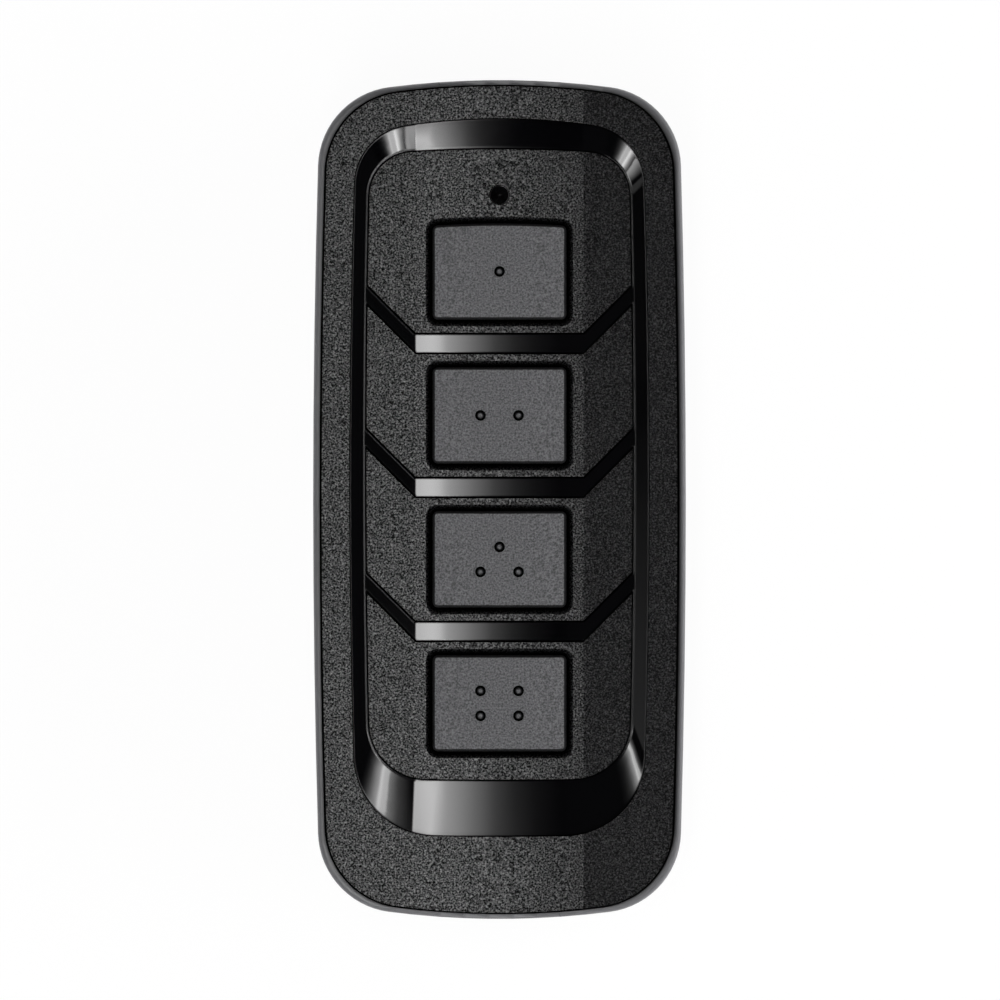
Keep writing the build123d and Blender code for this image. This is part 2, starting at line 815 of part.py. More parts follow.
# Control chip and its leads
with BuildPart() as control_chip:
    with Locations((-part_column, chip_y, board_top + chip_lift)):
        Box(chip_width, chip_length, chip_height, align=(Align.CENTER, Align.CENTER, Align.MIN))
control_chip.part.label = "control_chip"
export_step(control_chip.part, "parts/control_chip.step")
with BuildPart() as chip_leads:
    shoulder = board_top + chip_lift + chip_height / 2
    first_lead_y = chip_y - chip_lead_pitch * (chip_lead_rows - 1) / 2
    for row in range(chip_lead_rows):
        with BuildSketch(upright(first_lead_y + row * chip_lead_pitch)):
            for side in (-1, 1):
                root = -part_column + side * chip_width / 2
                with BuildLine():
                    Polyline(
                        (root, shoulder),
                        (root + side * chip_lead_sheet, shoulder),
                        (root + side * chip_lead_sheet, board_top + chip_lead_sheet),
                        (root + side * chip_lead_reach, board_top + chip_lead_sheet),
                        (root + side * chip_lead_reach, board_top),
                        (root, board_top),
                        close=True,
                    )
                make_face()
        extrude(amount=chip_lead_width / 2, both=True)
chip_leads.part.label = "chip_leads"
export_step(chip_leads.part, "parts/chip_leads.step")

# Radio chip, crystal and the small resistors and capacitors
with BuildPart() as radio_chip:
    with Locations((part_column, radio_y, board_top)):
        Box(radio_side, radio_side, radio_height, align=(Align.CENTER, Align.CENTER, Align.MIN))
radio_chip.part.label = "radio_chip"
export_step(radio_chip.part, "parts/radio_chip.step")
with BuildPart() as crystal:
    with Locations((part_column, crystal_y, board_top)):
        Box(crystal_width, crystal_length, crystal_height, align=(Align.CENTER, Align.CENTER, Align.MIN))
crystal.part.label = "crystal"
export_step(crystal.part, "parts/crystal.step")
small_rows = [small_y - small_pitch * step for step in range(small_count)]
with BuildPart() as capacitors:
    with Locations(*[(-part_column, y, board_top) for y in small_rows]):
        Box(small_length, small_width, small_height, align=(Align.CENTER, Align.CENTER, Align.MIN))
capacitors.part.label = "capacitors"
export_step(capacitors.part, "parts/capacitors.step")
with BuildPart() as resistors:
    with Locations(*[(part_column, y, board_top) for y in small_rows]):
        Box(small_length, small_width, small_height, align=(Align.CENTER, Align.CENTER, Align.MIN))
resistors.part.label = "resistors"
export_step(resistors.part, "parts/resistors.step")

# Antenna: one wire from the board, round the indicator end and back to the board
with BuildPart() as antenna:
    wire_height = board_top + antenna_height
    far_y = board_high_y - antenna_end_gap
    near_y = far_y - antenna_length
    with BuildLine() as antenna_path:
        FilletPolyline(
            (-antenna_half_width, near_y, board_top),
            (-antenna_half_width, near_y, wire_height),
            (-antenna_half_width, far_y, wire_height),
            (antenna_half_width, far_y, wire_height),
            (antenna_half_width, near_y, wire_height),
            (antenna_half_width, near_y, board_top),
            radius=antenna_bend,
        )
    with BuildSketch(Plane(origin=antenna_path.line @ 0, z_dir=antenna_path.line % 0)):
        Circle(antenna_wire_radius)
    sweep()
antenna.part.label = "antenna"
export_step(antenna.part, "parts/antenna.step")

# Coin cell, its cap towards the board
with BuildPart() as coin_cell:
    with BuildSketch(Plane.XY.offset(cell_bottom)):
        Circle(cell_radius)
    extrude(amount=cell_height - cell_cap_height)
    fillet(coin_cell.edges(), cell_rounding)
    with BuildSketch(Plane.XY.offset(cell_bottom)):
        Circle(cell_cap_radius)
    extrude(amount=cell_height)
coin_cell.part.label = "coin_cell"
export_step(coin_cell.part, "parts/coin_cell.step")

# Battery clip: a strap that holds the cell against the board
with BuildPart() as battery_clip:
    inner_x = cell_radius + clip_side_gap
    outer_x = inner_x + clip_sheet
    foot_x = outer_x + clip_foot
    foot_low = board_bottom - clip_sheet
    right_side = [
        (foot_x, board_bottom),
        (foot_x, foot_low),
        (outer_x, foot_low),
        (outer_x, clip_bottom),
    ]
    inner_side = [(inner_x, cell_bottom), (inner_x, board_bottom)]
    with BuildSketch(Plane.XZ):
        with BuildLine():
            left_side = [(-x, z) for x, z in reversed(right_side)]
            left_inner = [(-x, z) for x, z in reversed(inner_side)]
            Polyline(*(right_side + left_side + left_inner + inner_side), close=True)
        make_face()
    extrude(amount=clip_width / 2, both=True)
battery_clip.part.label = "battery_clip"
export_step(battery_clip.part, "parts/battery_clip.step")

# Battery contact: the flat spring between the cell's cap and the board
with BuildPart() as battery_contact:
    with BuildSketch(Plane.XY.offset(contact_bottom)):
        Circle(contact_radius)
    extrude(amount=contact_sheet)
battery_contact.part.label = "battery_contact"
export_step(battery_contact.part, "parts/battery_contact.step")

# Case screws, sunk in the back and driven into the front cover
case_screws = screws(
    case_screw_spots,
    case_screw_radius,
    case_screw_length,
    case_screw_head_radius,
    case_screw_head_height,
    case_screw_sink,
)
case_screws.label = "case_screws"
export_step(case_screws, "parts/case_screws.step")

# Board screws, driven through the board into the panel's posts
board_screws = screws(
    board_screw_spots,
    board_screw_radius,
    board_screw_length,
    board_screw_head_radius,
    board_screw_head_height,
    board_bottom,
)
board_screws.label = "board_screws"
export_step(board_screws, "parts/board_screws.step")
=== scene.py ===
import json
from math import cos, pi, sin

import bmesh
import bpy
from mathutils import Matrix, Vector

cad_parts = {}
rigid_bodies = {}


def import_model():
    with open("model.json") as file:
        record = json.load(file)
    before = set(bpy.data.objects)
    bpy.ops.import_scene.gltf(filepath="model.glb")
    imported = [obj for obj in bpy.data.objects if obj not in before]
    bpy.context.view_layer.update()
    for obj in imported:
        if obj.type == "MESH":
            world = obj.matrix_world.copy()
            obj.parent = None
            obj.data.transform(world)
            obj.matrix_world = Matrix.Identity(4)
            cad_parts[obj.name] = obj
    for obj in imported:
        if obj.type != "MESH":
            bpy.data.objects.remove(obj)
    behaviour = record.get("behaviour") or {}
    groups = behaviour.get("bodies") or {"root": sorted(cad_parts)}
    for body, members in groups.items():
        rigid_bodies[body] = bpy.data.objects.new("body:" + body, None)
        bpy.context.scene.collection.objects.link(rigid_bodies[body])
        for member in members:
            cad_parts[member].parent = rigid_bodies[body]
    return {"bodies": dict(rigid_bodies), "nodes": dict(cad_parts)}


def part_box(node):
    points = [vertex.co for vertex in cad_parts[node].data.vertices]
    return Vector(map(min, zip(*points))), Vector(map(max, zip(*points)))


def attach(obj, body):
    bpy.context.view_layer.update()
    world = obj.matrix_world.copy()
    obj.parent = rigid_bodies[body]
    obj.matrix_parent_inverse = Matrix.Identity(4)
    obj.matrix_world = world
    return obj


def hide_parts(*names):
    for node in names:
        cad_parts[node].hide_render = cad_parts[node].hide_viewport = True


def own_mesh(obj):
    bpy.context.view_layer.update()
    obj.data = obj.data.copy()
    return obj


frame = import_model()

bl_info = {
    "name": "Alarm key fob",
    "version": (1, 0, 0),
    "blender": (4, 5, 0),
    "location": "3D View > Sidebar > Key fob",
    "description": "Finishes and a studio stage for an alarm key fob with four keys",
    "category": "Object",
}

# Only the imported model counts, so whatever else the file opened with goes first
packed = set(frame["nodes"].values()) | set(frame["bodies"].values())
for stray in set(bpy.data.objects) - packed:
    bpy.data.objects.remove(stray)
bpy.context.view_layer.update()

MM = 0.001
KEYS = (1, 2, 3, 4)

# The photograph's frame: its width on the object, and how far its middle is from the fob's middle
FRAME_WIDTH = 85.714 * MM
FRAME_SHIFT = (0.043 * MM, -0.043 * MM)
# A long lens far off, which shows the fob almost without perspective: metres, and a sensor in millimetres
CAMERA_DISTANCE = 2.0
CAMERA_SENSOR = 36.0

ABS_IOR = 1.53
ACRYLIC_IOR = 1.49
BEVEL_SAMPLES = 6
# How high a grain stands where its two colours begin and end
TINT_START, TINT_END = 0.35, 0.65
# How far a surface faces upward where the keys' grey top begins over their flanks' painted shade, and where
# it is whole
FLANK_SHADE_FADES, FLANK_SHADE_GONE = 0.94, 0.985
# The same where a surface stops being an underside, and where the painted shade in gaps reaches it fully
UNDERSIDE, WALL = -0.4, 0.0
# How steeply that painted shade in gaps deepens
GAP_SHADE_SHARPNESS = 3.0

DOME_SHEET = 0.08 * MM
DOME_RINGS = 10
DOME_TURNS = 48
WELD_DISTANCE = 0.0001 * MM

# How much of the paper shows as plain white, the rest of it being left to the fob's shadow
FLOOR_GLOW = 0.94

# Places on the overhead sheets are in millimetres from the fob's middle. Across the strip, left to right,
# each place has the share of the full strength there
STRIP_SHARES = (
    (-88.0, 0.66),
    (-72.0, 0.66),
    (-61.0, 0.9),
    (-50.0, 0.45),
    (-24.0, 0.2),
    (-5.0, 0.068),
    (14.0, 0.022),
    (32.0, 0.007),
    (60.0, 0.0),
)
STRIP_SPAN = (-580.0, 125.0)
# Past the fob's key end the strip narrows: by how many times, and what is then added to a place across it,
# which moves its shares to the left
STRIP_TAPER = ((-227.0, 1.85), (0.0, 1.0))
STRIP_SKEW = ((-227.0, 39.0), (0.0, 0.0))
# The strip's soft left side, which is brighter past the key end
WING_SHARES = (
    (-150.0, 0.0),
    (-118.0, 0.06),
    (-95.0, 0.22),
    (-88.0, 0.22),
)
WING_RISE = ((-200.0, 5.5), (40.0, 1.0))
# Two dimmer sheets farther to the left
LEFT_CARD_SHARES = ((-400.0, 1.0), (-285.0, 1.0), (-262.0, 0.0))
LEFT_CARD_SPAN = (-60.0, 6.0)
LEFT_CARD_RISE = ((-20.0, 1.0), (6.0, 0.0))
CORNER_CARD_SHARES = ((-262.0, 0.0), (-150.0, 1.0))
CORNER_CARD_SPAN = (-300.0, -20.0)
CORNER_CARD_RISE = ((-150.0, 1.0), (-15.0, 0.0))
# Name, shares across, span along, share of the strip's strength, and what changes along the sheet
OVERHEAD_SHEETS = (
    ("overhead_strip", STRIP_SHARES, STRIP_SPAN, 1.0, {"taper": STRIP_TAPER, "skew": STRIP_SKEW}),
    ("overhead_wing", WING_SHARES, STRIP_SPAN, 1.0, {"rise": WING_RISE}),
    ("left_card", LEFT_CARD_SHARES, LEFT_CARD_SPAN, 0.038, {"rise": LEFT_CARD_RISE}),
    ("corner_card", CORNER_CARD_SHARES, CORNER_CARD_SPAN, 0.5, {"rise": CORNER_CARD_RISE}),
)
# Nothing changes along a sheet, in its strength or width and in its place
LEVEL = ((0.0, 1.0), (1.0, 1.0))
STRAIGHT = ((0.0, 0.0), (1.0, 0.0))

# Name, middle, size and share of the sides' or the ends' strength, in metres
SIDE_BOXES = (
    ("right_box", (0.6, 0, 0.15), (0.9, 0.27), 3.3),
    ("left_box", (-0.6, 0, 0.17), (0.9, 0.3), 0.65),
)
END_BOXES = (
    ("top_box", (0, 0.7, 0.2), (0.9, 0.35), 0.8),
    ("bottom_box", (0, -0.7, 0.2), (0.9, 0.35), 1.0),
)
UNDER_BOX = ("under_box", (0, 0, -0.6), (1.2, 1.2), 0.6)


def linear(code):
    """The linear colour of an sRGB hex code such as #1c1c1e."""
    shares = [int(code[i : i + 2], 16) / 255 for i in (1, 3, 5)]
    return tuple(s / 12.92 if s <= 0.04045 else ((s + 0.055) / 1.055) ** 2.4 for s in shares)


def colour_prop(name, description, code):
    """A colour that shows in the sidebar, with its default given as a hex code."""
    return bpy.props.FloatVectorProperty(
        name=name, description=description, default=linear(code), subtype="COLOR", size=3, min=0, max=1
    )


def length_prop(name, description, millimetres):
    """A length that shows in the sidebar, with its default given in millimetres."""
    return bpy.props.FloatProperty(
        name=name, description=description, default=millimetres * MM, unit="LENGTH", min=0, precision=5
    )


class FobFinish(bpy.types.PropertyGroup):
    """Colours and grain of the fob's own surfaces."""

    case_colour: colour_prop("Textured case", "Pigment of the spark-textured front and panel", "#0a0a0b")
    gloss_colour: colour_prop("Polished trim", "Pigment of the polished ring and bars", "#030304")
    rear_colour: colour_prop("Rear cover", "Pigment of the satin rear cover", "#59595b")
    # The grey of the keys' tops; their flanks and dot moats take painted shade instead
    key_colour: colour_prop("Keys", "Colour of the coat on the keys' tops", "#4a4a4c")
    # Near-black painted shade on the keys' flanks and dot moats, which face away from straight up
    flank_shade_colour: colour_prop("Key flanks", "Pigment of the keys under their coat", "#0b0b0c")
    board_colour: colour_prop("Board", "Colour of the solder mask", "#0e4a2c")
    case_grain: length_prop("Case grain", "Width of one grain of the case's texture", 0.15)
    case_depth: length_prop("Case grain depth", "Height of the case's texture", 0.035)
    key_grain: length_prop("Key grain", "Width of one grain of the keys' texture", 0.16)
    key_depth: length_prop("Key grain depth", "Height of the keys' texture", 0.08)
    edge_rounding: length_prop("Edge rounding", "Radius on the textured and satin edges", 0.05)
    gloss_rounding: length_prop("Polished rounding", "Radius on the polished edges", 0.17)
    # How wide a gap still takes painted shade in its colour and sheen
    gap_shade_width: length_prop("Gap width", "How wide a gap still swallows the light", 0.5)


class FobStage(bpy.types.PropertyGroup):
    """Lamps, floor and paper of the studio."""

    strip_height: length_prop("Strip height", "Height of the long overhead strip", 500)
    strip_strength: bpy.props.FloatProperty(
        name="Strip", description="Radiance of the long overhead strip", default=13.8, min=0
    )
    side_strength: bpy.props.FloatProperty(
        name="Sides", description="Radiance of the low boxes beside the fob", default=3.0, min=0
    )
    end_strength: bpy.props.FloatProperty(
        name="Ends", description="Radiance of the low boxes past the fob's ends", default=3.0, min=0
    )
    world_strength: bpy.props.FloatProperty(
        name="Room", description="Radiance of the dim room round the stage", default=0.02, min=0
    )
    floor_size: length_prop("Floor", "Side of the paper floor", 4000)
    floor_gap: length_prop("Floor gap", "Air between the fob's back and the paper", 0.05)
    paper_colour: colour_prop("Paper", "Colour of the paper floor", "#f4f4f4")


def add_node(tree, kind, inputs=(), **settings):
    """Adds one node, sets its options and fills its inputs with values or with other nodes' outputs."""
    node = tree.nodes.new(kind)
    for name, value in settings.items():
        setattr(node, name, value)
    for socket, value in dict(inputs).items():
        if isinstance(value, bpy.types.NodeSocket):
            tree.links.new(value, node.inputs[socket])
        else:
            node.inputs[socket].default_value = value
    return node


def new_material(name, colour, roughness, metallic=0.0, ior=1.5):
    """A material with one shader, set to its plain colour and finish."""
    material = bpy.data.materials.new(name)
    material.use_nodes = True
    tree = material.node_tree
    shader = tree.nodes["Principled BSDF"]
    shader.inputs["Base Color"].default_value = (*colour, 1)
    shader.inputs["Roughness"].default_value = roughness
    shader.inputs["Metallic"].default_value = metallic
    shader.inputs["IOR"].default_value = ior
    return material, tree, shader


def moulded_grain(tree, shader, grain, depth, rounding, detail=2.0):
    """Gives a shader a mould's grain and softly rounded edges, and returns the grain's height."""
    place = add_node(tree, "ShaderNodeTexCoord")
    height = add_node(
        tree,
        "ShaderNodeTexNoise",
        {"Vector": place.outputs["Object"], "Scale": 1 / grain, "Detail": detail, "Roughness": 0.6},
    )
    edge = add_node(tree, "ShaderNodeBevel", {"Radius": rounding}, samples=BEVEL_SAMPLES)
    bump = add_node(
        tree,
        "ShaderNodeBump",
        {
            "Height": height.outputs["Fac"],
            "Strength": 1.0,
            "Distance": depth,
            "Normal": edge.outputs["Normal"],
        },
    )
    tree.links.new(bump.outputs["Normal"], shader.inputs["Normal"])
    return height.outputs["Fac"]


def vary(tree, shader, source, socket, low, high, start=0.3, end=0.7):
    """Lets a pattern move one of the shader's numbers between two values."""
    spread = add_node(
        tree,
        "ShaderNodeMapRange",
        {"Value": source, "From Min": start, "From Max": end, "To Min": low, "To Max": high},
    )
    tree.links.new(spread.outputs["Result"], shader.inputs[socket])


def peaks(tree, height, start, end, sharpness):
    """A grain's height from none to one, pressed down so that only its highest points stay high."""
    rise = add_node(tree, "ShaderNodeMapRange", {"Value": height, "From Min": start, "From Max": end})
    return add_node(
        tree, "ShaderNodeMath", {0: rise.outputs["Result"], 1: sharpness}, operation="POWER"
    ).outputs["Value"]


def tint(tree, shader, source, low, high):
    """Lets a pattern move the shader's colour between two colours, and returns the mixed colour."""
    ramp = add_node(tree, "ShaderNodeValToRGB", {"Fac": source})
    ramp.color_ramp.elements[0].position = TINT_START
    ramp.color_ramp.elements[0].color = (*low, 1)
    ramp.color_ramp.elements[1].position = TINT_END
    ramp.color_ramp.elements[1].color = (*high, 1)
    tree.links.new(ramp.outputs["Color"], shader.inputs["Base Color"])
    return ramp.outputs["Color"]


def upwardness(tree):
    """How far a surface faces upward: 1 on a top, 0 on a wall and -1 on an underside."""
    place = add_node(tree, "ShaderNodeTexCoord")
    normal = add_node(tree, "ShaderNodeSeparateXYZ", {"Vector": place.outputs["Normal"]})
    return normal.outputs["Z"]


def paint_gap_shade(tree, shader, width):
    """Paints shade into narrow gaps: ambient occlusion darkens the plastic's own colour and its sheen there,
    a painted shade, and leaves undersides alone.
    """
    shadow = add_node(tree, "ShaderNodeAmbientOcclusion", {"Distance": width})
    depth = add_node(
        tree,
        "ShaderNodeMapRange",
        {
            "Value": upwardness(tree),
            "From Min": UNDERSIDE,
            "From Max": WALL,
            "To Min": 0.0,
            "To Max": GAP_SHADE_SHARPNESS,
        },
    )
    openness = add_node(
        tree, "ShaderNodeMath", {0: shadow.outputs["AO"], 1: depth.outputs["Result"]}, operation="POWER"
    ).outputs["Value"]
    colour, sheen = shader.inputs["Base Color"], shader.inputs["Specular IOR Level"]
    own_colour = colour.links[0].from_socket if colour.is_linked else colour.default_value[:3]
    own_sheen = sheen.links[0].from_socket if sheen.is_linked else sheen.default_value
    darker = add_node(tree, "ShaderNodeVectorMath", {0: own_colour, "Scale": openness}, operation="SCALE")
    duller = add_node(tree, "ShaderNodeMath", {0: own_sheen, 1: openness}, operation="MULTIPLY")
    tree.links.new(darker.outputs["Vector"], colour)
    tree.links.new(duller.outputs["Value"], sheen)


def shade(colour, share):
    """A colour made darker or lighter by a share."""
    return tuple(min(1.0, part * share) for part in colour)


def spark_textured_abs(finish):
    """Black ABS from a spark-eroded mould: a sparkling grain whose pits are painted darker in colour and
    sheen, a painted shade, and whose peaks carry a raised sheen, a painted glint.
    """
    material, tree, shader = new_material("spark_textured_abs", finish.case_colour, 0.42, ior=ABS_IOR)
    height = moulded_grain(tree, shader, finish.case_grain, finish.case_depth, finish.edge_rounding)
    # Grain tone, with the pits painted darker as painted shade and the peaks lighter
    tint(tree, shader, height, shade(finish.case_colour, 0.5), shade(finish.case_colour, 1.8))
    vary(tree, shader, height, "Roughness", 0.48, 0.32)
    # Sheen pressed down in the grain's pits and raised on its peaks: painted shade and painted glints
    sparkle = peaks(tree, height, start=0.35, end=0.75, sharpness=1.7)
    vary(tree, shader, sparkle, "Specular IOR Level", 0.02, 2.1, start=0.0, end=1.0)
    # Painted shade in narrow gaps, in colour and sheen
    paint_gap_shade(tree, shader, finish.gap_shade_width)
    return material


def mirror_polished_abs(finish):
    """Black ABS from a mirror-polished mould: clean lamp reflections with a faint waviness."""
    material, tree, shader = new_material("mirror_polished_abs", finish.gloss_colour, 0.05, ior=ABS_IOR)
    wave = moulded_grain(
        tree, shader, grain=6 * MM, depth=0.002 * MM, rounding=finish.gloss_rounding, detail=0.0
    )
    vary(tree, shader, wave, "Roughness", 0.04, 0.07)
    # Painted shade in narrow gaps, in colour and sheen
    paint_gap_shade(tree, shader, finish.gap_shade_width)
    return material


def satin_moulded_abs(finish):
    """Grey ABS from a finely blasted mould: an even satin sheen, its grain drawn coarse enough to show."""
    material, tree, shader = new_material("satin_moulded_abs", finish.rear_colour, 0.38, ior=ABS_IOR)
    height = moulded_grain(tree, shader, grain=0.18 * MM, depth=0.006 * MM, rounding=finish.edge_rounding)
    vary(tree, shader, height, "Roughness", 0.34, 0.42)
    # Painted shade in narrow gaps, in colour and sheen
    paint_gap_shade(tree, shader, finish.gap_shade_width)
    return material


def grey_key_abs_with_painted_flank_shade(finish):
    """Grey ABS keys with matt grained tops; their flanks and dot moats, which face away from straight up,
    are painted near-black as painted shade.
    """
    material, tree, shader = new_material("grey_key_abs_with_painted_flank_shade", finish.key_colour, 0.5, ior=ABS_IOR)
    height = moulded_grain(tree, shader, finish.key_grain, finish.key_depth, finish.edge_rounding / 2)
    grey_top_colour = tint(tree, shader, height, shade(finish.key_colour, 0.35), shade(finish.key_colour, 1.7))
    vary(tree, shader, height, "Roughness", 0.55, 0.46)
    # Painted shade: a face that tilts away from straight up turns near-black, so flanks and dot moats look
    # shaded
    top = add_node(
        tree,
        "ShaderNodeMapRange",
        {"Value": upwardness(tree), "From Min": FLANK_SHADE_FADES, "From Max": FLANK_SHADE_GONE},
    )
    flank_shade = (*finish.flank_shade_colour, 1)
    shaded_key_colour = add_node(
        tree, "ShaderNodeMixRGB", {"Fac": top.outputs["Result"], "Color1": flank_shade, "Color2": grey_top_colour}
    )
    tree.links.new(shaded_key_colour.outputs["Color"], shader.inputs["Base Color"])
    # Painted shade in narrow gaps, in colour and sheen
    paint_gap_shade(tree, shader, finish.gap_shade_width)
    return material


def smoked_acrylic():
    """Smoked acrylic, moulded clear and nearly black: a wet-looking tip that hides the lamp."""
    material, tree, shader = new_material("smoked_acrylic", linear("#0b0b0c"), 0.06, ior=ACRYLIC_IOR)
    wave = moulded_grain(
        tree, shader, grain=1.5 * MM, depth=0.001 * MM, rounding=0.04 * MM, detail=0.0
    )
    vary(tree, shader, wave, "Roughness", 0.05, 0.09)
    return material


def solder_masked_board(finish):
    """Glass epoxy under green solder mask: straight tracks show as lighter lines under the lacquer."""
    material, tree, shader = new_material("solder_masked_board", finish.board_colour, 0.32)
    place = add_node(tree, "ShaderNodeTexCoord")
    tracks = add_node(
        tree,
        "ShaderNodeTexBrick",
        {
            "Vector": place.outputs["Object"],
            "Scale": 1 / (2.2 * MM),
            "Mortar Size": 0.09,
            "Mortar Smooth": 0.1,
            "Color1": (*finish.board_colour, 1),
            "Color2": (*shade(finish.board_colour, 0.82), 1),
            "Mortar": (*shade(finish.board_colour, 1.9), 1),
        },
    )
    tree.links.new(tracks.outputs["Color"], shader.inputs["Base Color"])
    bump = add_node(
        tree, "ShaderNodeBump", {"Height": tracks.outputs["Fac"], "Strength": 1.0, "Distance": 0.02 * MM}
    )
    tree.links.new(bump.outputs["Normal"], shader.inputs["Normal"])
    return material


def rolled_sheet_steel():
    """Stainless sheet as it leaves the rolls: fine lengthwise lines that stretch its highlights."""
    material, tree, shader = new_material("rolled_sheet_steel", linear("#b9bbbe"), 0.3, metallic=1.0)
    place = add_node(tree, "ShaderNodeTexCoord")
    drawn_out = add_node(
        tree, "ShaderNodeMapping", {"Vector": place.outputs["Object"], "Scale": (12.0, 1.0, 1.0)}
    )
    lines = add_node(
        tree,
        "ShaderNodeTexNoise",
        {"Vector": drawn_out.outputs["Vector"], "Scale": 1 / (1.2 * MM), "Detail": 3.0},
    )
    vary(tree, shader, lines.outputs["Fac"], "Roughness", 0.22, 0.4)
    return material


def tinned_copper():
    """Copper dipped in tin: a pale, slightly mottled metal."""
    material, tree, shader = new_material("tinned_copper", linear("#c9c8c2"), 0.28, metallic=1.0)
    height = moulded_grain(tree, shader, grain=0.5 * MM, depth=0.004 * MM, rounding=0.04 * MM)
    vary(tree, shader, height, "Roughness", 0.2, 0.38)
    return material


def nickel_plated_can():
    """Drawn steel with bright nickel plate: the clean can of a coin cell, with faint handling haze."""
    material, tree, shader = new_material("nickel_plated_can", linear("#c4c3c0"), 0.18, metallic=1.0)
    height = moulded_grain(tree, shader, grain=2.5 * MM, depth=0.002 * MM, rounding=0.04 * MM)
    vary(tree, shader, height, "Roughness", 0.12, 0.26)
    return material


def black_zinc_steel():
    """Screw steel in black zinc: dark metal with a grey bloom."""
    material, tree, shader = new_material("black_zinc_steel", linear("#3a3a3d"), 0.36, metallic=1.0)
    height = moulded_grain(tree, shader, grain=0.3 * MM, depth=0.004 * MM, rounding=0.06 * MM)
    tint(tree, shader, height, linear("#2c2c2f"), linear("#4a4a4e"))
    return material


def moulded_plastic(name, code, roughness):
    """A plain plastic, lacquer or ceramic body with a faint mottle, for the small parts inside."""
    material, tree, shader = new_material(name, linear(code), roughness)
    height = moulded_grain(tree, shader, grain=0.15 * MM, depth=0.004 * MM, rounding=0.05 * MM)
    tint(tree, shader, height, shade(linear(code), 0.88), shade(linear(code), 1.12))
    return material


def dress(material, names):
    """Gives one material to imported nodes."""
    for name in names:
        frame["nodes"][name].material_slots[0].material = material


def key_switch_nodes(part):
    """The nodes of one part of all four tact switches."""
    return [f"switch_{n}_{part}" for n in KEYS]


class FOB_OT_covers(bpy.types.Operator):
    """Finish the textured front cover and key panel."""

    bl_idname = "fob.covers"
    bl_label = "Front cover and key panel"

    def execute(self, context):
        dress(spark_textured_abs(context.scene.fob_finish), ["front_cover", "key_panel"])
        return {"FINISHED"}


class FOB_OT_trim(bpy.types.Operator):
    """Finish the polished ring and its chevron bars."""

    bl_idname = "fob.trim"
    bl_label = "Polished ring and bars"

    def execute(self, context):
        dress(mirror_polished_abs(context.scene.fob_finish), ["gloss_bezel"])
        return {"FINISHED"}


class FOB_OT_rear(bpy.types.Operator):
    """Finish the satin rear cover."""

    bl_idname = "fob.rear"
    bl_label = "Rear cover"

    def execute(self, context):
        dress(satin_moulded_abs(context.scene.fob_finish), ["rear_cover"])
        return {"FINISHED"}


class FOB_OT_keys(bpy.types.Operator):
    """Finish the four keys."""

    bl_idname = "fob.keys"
    bl_label = "Keys"

    def execute(self, context):
        dress(grey_key_abs_with_painted_flank_shade(context.scene.fob_finish), [f"button_{n}" for n in KEYS])
        return {"FINISHED"}


class FOB_OT_indicator(bpy.types.Operator):
    """Finish the smoked light pipe and the lamp under it."""

    bl_idname = "fob.indicator"
    bl_label = "Indicator"

    def execute(self, context):
        dress(smoked_acrylic(), ["light_pipe"])
        dress(moulded_plastic("clear_epoxy_lamp", "#e8e4cf", 0.15), ["indicator_led"])
        return {"FINISHED"}


class FOB_OT_board(bpy.types.Operator):
    """Finish the circuit board and the small parts on it."""

    bl_idname = "fob.board"
    bl_label = "Board and its parts"

    def execute(self, context):
        dress(solder_masked_board(context.scene.fob_finish), ["circuit_board"])
        dress(moulded_plastic("moulded_epoxy_chip", "#17171a", 0.45), ["control_chip", "radio_chip"])
        dress(moulded_plastic("glazed_resistor", "#101012", 0.3), ["resistors"])
        dress(moulded_plastic("fired_ceramic", "#a98a62", 0.4), ["capacitors"])
        dress(tinned_copper(), ["chip_leads", "switch_terminals", "antenna"])
        dress(rolled_sheet_steel(), ["crystal", *key_switch_nodes("cover")])
        return {"FINISHED"}


class FOB_OT_switches(bpy.types.Operator):
    """Finish the tact switches, and press a smooth snap dome for each."""

    bl_idname = "fob.switches"
    bl_label = "Tact switches"

    def execute(self, context):
        dress(moulded_plastic("moulded_nylon_black", "#1a1a1c", 0.5), key_switch_nodes("body"))
        dress(moulded_plastic("moulded_nylon_ivory", "#d8d2c2", 0.45), key_switch_nodes("plunger"))
        steel = rolled_sheet_steel()
        for number in KEYS:
            self.snap_dome(number, steel)
        return {"FINISHED"}

    def snap_dome(self, number, steel):
        """A shallow round dome of thin sheet."""
        low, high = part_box(f"switch_{number}_dome")
        middle = (low + high) / 2
        radius, rise = (high.x - low.x) / 2, high.z - low.z
        mesh = bmesh.new()
        upper = []
        for ring in range(DOME_RINGS + 1):
            share = ring / DOME_RINGS
            upper.append((radius * share, DOME_SHEET + (rise - DOME_SHEET) * (0.5 + 0.5 * cos(pi * share))))
        profile = upper + [(r, z - DOME_SHEET) for r, z in reversed(upper)]
        columns = []
        for turn in range(DOME_TURNS):
            angle = 2 * pi * turn / DOME_TURNS
            columns.append([
                mesh.verts.new((middle.x + r * cos(angle), middle.y + r * sin(angle), low.z + z))
                for r, z in profile
            ])
        for turn in range(DOME_TURNS):
            here, there = columns[turn], columns[(turn + 1) % DOME_TURNS]
            for i in range(len(profile) - 1):
                mesh.faces.new((here[i], here[i + 1], there[i + 1], there[i]))
        bmesh.ops.remove_doubles(mesh, verts=mesh.verts, dist=WELD_DISTANCE)
        bmesh.ops.recalc_face_normals(mesh, faces=mesh.faces)
        data = bpy.data.meshes.new(f"snap_dome_{number}")
        mesh.to_mesh(data)
        mesh.free()
        data.shade_smooth()
        data.materials.append(steel)
        dome = bpy.data.objects.new(f"snap_dome_{number}", data)
        bpy.context.scene.collection.objects.link(dome)
        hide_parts(f"switch_{number}_dome")
        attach(dome, "case")
        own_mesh(dome)


